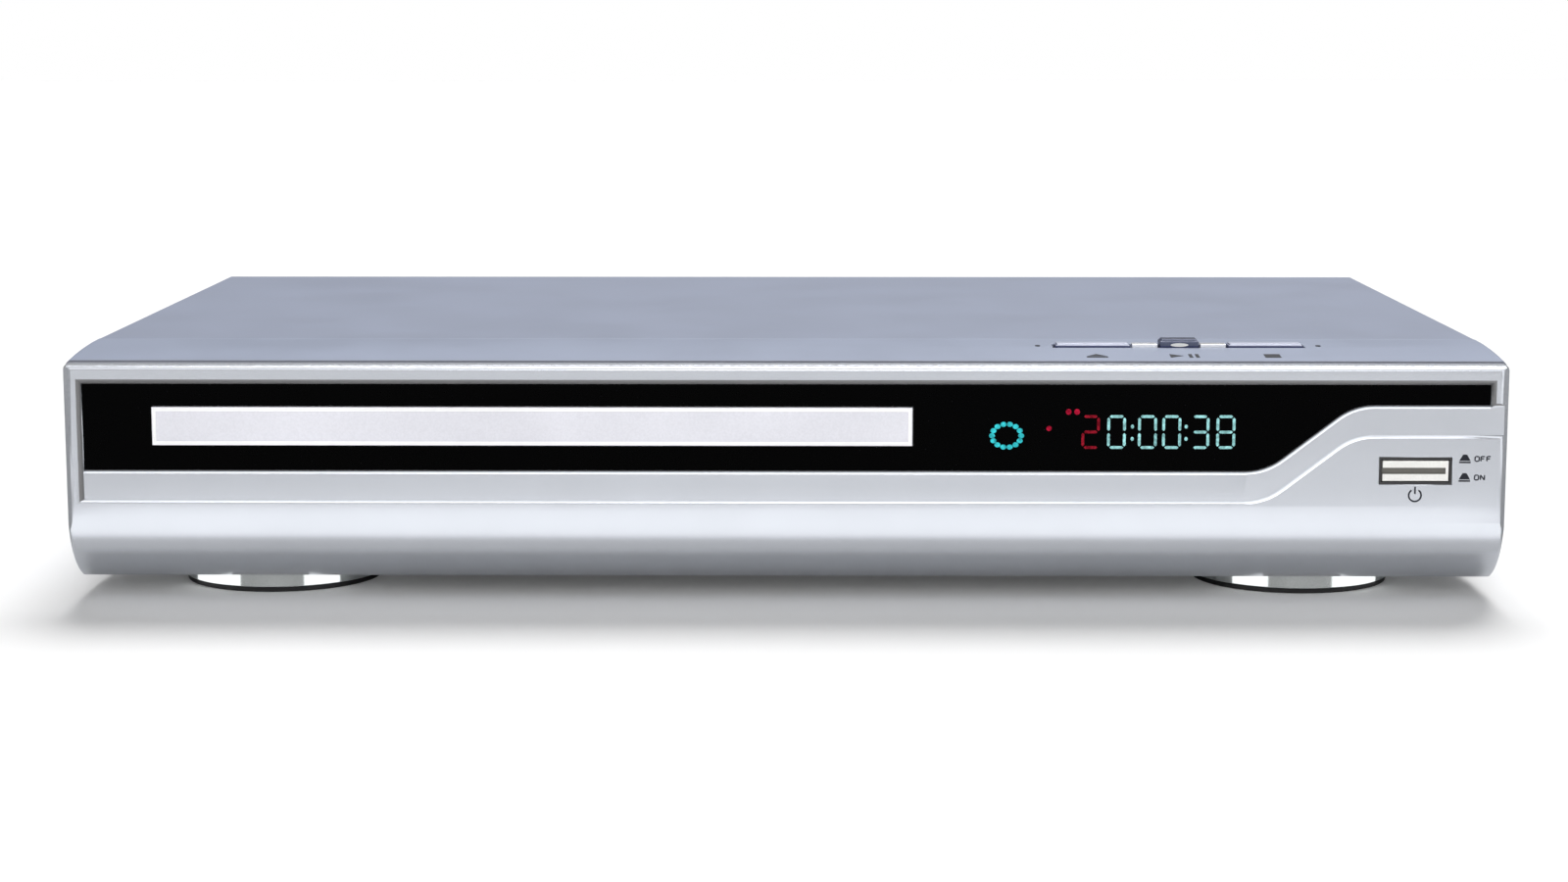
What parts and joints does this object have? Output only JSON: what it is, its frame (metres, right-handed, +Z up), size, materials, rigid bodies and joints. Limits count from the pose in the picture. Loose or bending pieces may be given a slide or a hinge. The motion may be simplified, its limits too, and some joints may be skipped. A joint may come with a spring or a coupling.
{
  "type": "dvd player with tray",
  "caption": "Flat disc player with a sliding disc tray, black curved window, lit display, push buttons, arched button deck and round feet.",
  "frame": {"origin": "on the ground, under the middle of the player's box", "axes": "+X to the right seen from the front, -Y out of the front, +Z up"},
  "size_m": [0.43, 0.264, 0.078],
  "materials": {
    "cover_paint": "satin",
    "deck_paint": "satin",
    "silver_plastic": "metallic satin",
    "zinc_steel": "satin",
    "bright_trim": "polished",
    "smoked_window": "gloss",
    "door_plastic": "satin",
    "key_silver": "gloss",
    "key_blue": "gloss",
    "power_cap": "gloss",
    "black_plastic": "satin",
    "foot_chrome": "polished",
    "black_rubber": "matte",
    "screw_steel": "satin",
    "circuit_board": "satin",
    "chip_black": "satin",
    "capacitor_sleeve": "gloss",
    "transformer_core": "matte",
    "fuse_glass": "gloss",
    "display_glass": "gloss",
    "plated_metal": "polished",
    "cable_grey": "satin",
    "cable_red": "satin",
    "loader_plastic": "matte",
    "ivory_plastic": "satin",
    "tray_plastic": "satin",
    "motor_can": "satin",
    "turntable_black": "matte",
    "rod_steel": "polished",
    "sled_metal": "cast",
    "lens_glass": "gloss"
  },
  "bodies": {
    "casing": {"top_cover": "cover_paint", "bottom_chassis": "zinc_steel", "rear_panel": "zinc_steel", "front_panel": "silver_plastic", "button_deck": "deck_paint", "button_rails": "bright_trim", "display_window": "smoked_window", "power_bezel": "black_plastic", "foot_front_left": "foot_chrome", "foot_front_right": "foot_chrome", "foot_rear_left": "foot_chrome", "foot_rear_right": "foot_chrome", "foot_pads": "black_rubber", "underside_screws": "screw_steel", "cover_screws": "screw_steel", "inner_screws": "screw_steel", "main_board": "circuit_board", "board_chips": "chip_black", "board_capacitors": "capacitor_sleeve", "power_board": "circuit_board", "transformer": "transformer_core", "supply_capacitor": "capacitor_sleeve", "fuse": "fuse_glass", "front_board": "circuit_board", "display_module": "display_glass", "remote_receiver": "display_glass", "key_board": "circuit_board", "key_switches": "black_plastic", "power_switch": "black_plastic", "signal_sockets": "black_plastic", "signal_collars": "plated_metal", "round_video_socket": "black_plastic", "mains_inlet": "black_plastic", "inlet_pins": "plated_metal", "ribbon_cables": "cable_grey", "power_lead": "cable_red", "loader_frame": "loader_plastic", "clamp_bridge": "zinc_steel", "drive_belt": "black_rubber", "loading_motor": "motor_can"},
    "tray": {"disc_tray": "tray_plastic", "tray_door": "door_plastic"},
    "drive_gear": {"drive_gear": "ivory_plastic"},
    "pulley_gear": {"pulley_gear": "ivory_plastic"},
    "motor_pulley": {"motor_pulley": "ivory_plastic"},
    "cam_slider": {"cam_slider": "ivory_plastic"},
    "traverse": {"traverse": "loader_plastic", "spindle_motor": "motor_can", "guide_rods": "rod_steel", "sled_motor": "motor_can"},
    "turntable": {"turntable": "turntable_black"},
    "disc_clamp": {"disc_clamp": "ivory_plastic"},
    "pickup_sled": {"pickup_sled": "sled_metal"},
    "feed_screw": {"feed_screw": "rod_steel"},
    "objective_lens": {"objective_lens": "lens_glass"},
    "open_close_button": {"open_close_button": "key_silver"},
    "play_pause_button": {"play_pause_button": "key_blue"},
    "stop_button": {"stop_button": "key_silver"},
    "power_button": {"power_button": "power_cap"}
  },
  "joints": [
    {"name": "tray_slide", "type": "slide", "parent": "casing", "child": "tray", "axis": [0, -1, 0], "range_m": [0, 0.14]},
    {"name": "drive_gear_spin", "type": "hinge", "parent": "casing", "child": "drive_gear", "pos_m": [-0.123, -0.098, 0.0415], "axis": [0, 0, 1], "range_deg": [0, 803]},
    {"name": "pulley_gear_spin", "type": "hinge", "parent": "casing", "child": "pulley_gear", "pos_m": [-0.10232, -0.10165, 0.0395], "axis": [0, 0, 1], "range_deg": [-1606, 0]},
    {"name": "motor_pulley_spin", "type": "hinge", "parent": "casing", "child": "motor_pulley", "pos_m": [-0.06342, -0.10165, 0.0375], "axis": [0, 0, 1], "range_deg": [-6900, 0]},
    {"name": "cam_slide", "type": "slide", "parent": "casing", "child": "cam_slider", "axis": [1, 0, 0], "range_m": [0, 0.012]},
    {"name": "traverse_lift", "type": "hinge", "parent": "casing", "child": "traverse", "pos_m": [-0.0754, 0.038, 0.036], "axis": [1, 0, 0], "range_deg": [0, 5]},
    {"name": "turntable_spin", "type": "hinge", "parent": "traverse", "child": "turntable", "pos_m": [-0.0754, -0.055, 0.0545], "axis": [0, 0, 1], "continuous": true},
    {"name": "clamp_spin", "type": "hinge", "parent": "casing", "child": "disc_clamp", "pos_m": [-0.0754, -0.055, 0.0615], "axis": [0, 0, 1], "continuous": true},
    {"name": "sled_slide", "type": "slide", "parent": "traverse", "child": "pickup_sled", "axis": [0, 1, 0], "range_m": [0, 0.034]},
    {"name": "feed_screw_spin", "type": "hinge", "parent": "traverse", "child": "feed_screw", "pos_m": [-0.1029, -0.022, 0.0467], "axis": [0, 1, 0], "range_deg": [0, 4082]},
    {"name": "lens_focus", "type": "slide", "parent": "pickup_sled", "child": "objective_lens", "axis": [0, 0, 1], "range_m": [-0.0004, 0.0006], "stiffness_N_per_m": 50},
    {"name": "open_close_press", "type": "slide", "parent": "casing", "child": "open_close_button", "axis": [0, 0, -1], "range_m": [0, 0.0008], "stiffness_N_per_m": 2500},
    {"name": "play_pause_press", "type": "slide", "parent": "casing", "child": "play_pause_button", "axis": [0, 0, -1], "range_m": [0, 0.0008], "stiffness_N_per_m": 2500},
    {"name": "stop_press", "type": "slide", "parent": "casing", "child": "stop_button", "axis": [0, 0, -1], "range_m": [0, 0.0008], "stiffness_N_per_m": 2500},
    {"name": "power_press", "type": "slide", "parent": "casing", "child": "power_button", "axis": [0, 1, 0], "range_m": [0, 0.0025], "stiffness_N_per_m": 600}
  ],
  "couplings": [
    {"joint": "drive_gear_spin", "follows": "tray_slide", "rad_per_m": 100},
    {"joint": "pulley_gear_spin", "follows": "tray_slide", "rad_per_m": -200},
    {"joint": "motor_pulley_spin", "follows": "tray_slide", "rad_per_m": -858.8},
    {"joint": "cam_slide", "follows": "tray_slide", "ratio": 0.0857},
    {"joint": "traverse_lift", "follows": "tray_slide", "rad_per_m": 0.6233},
    {"joint": "clamp_spin", "follows": "turntable_spin", "ratio": 1},
    {"joint": "feed_screw_spin", "follows": "sled_slide", "rad_per_m": 2094.4}
  ]
}
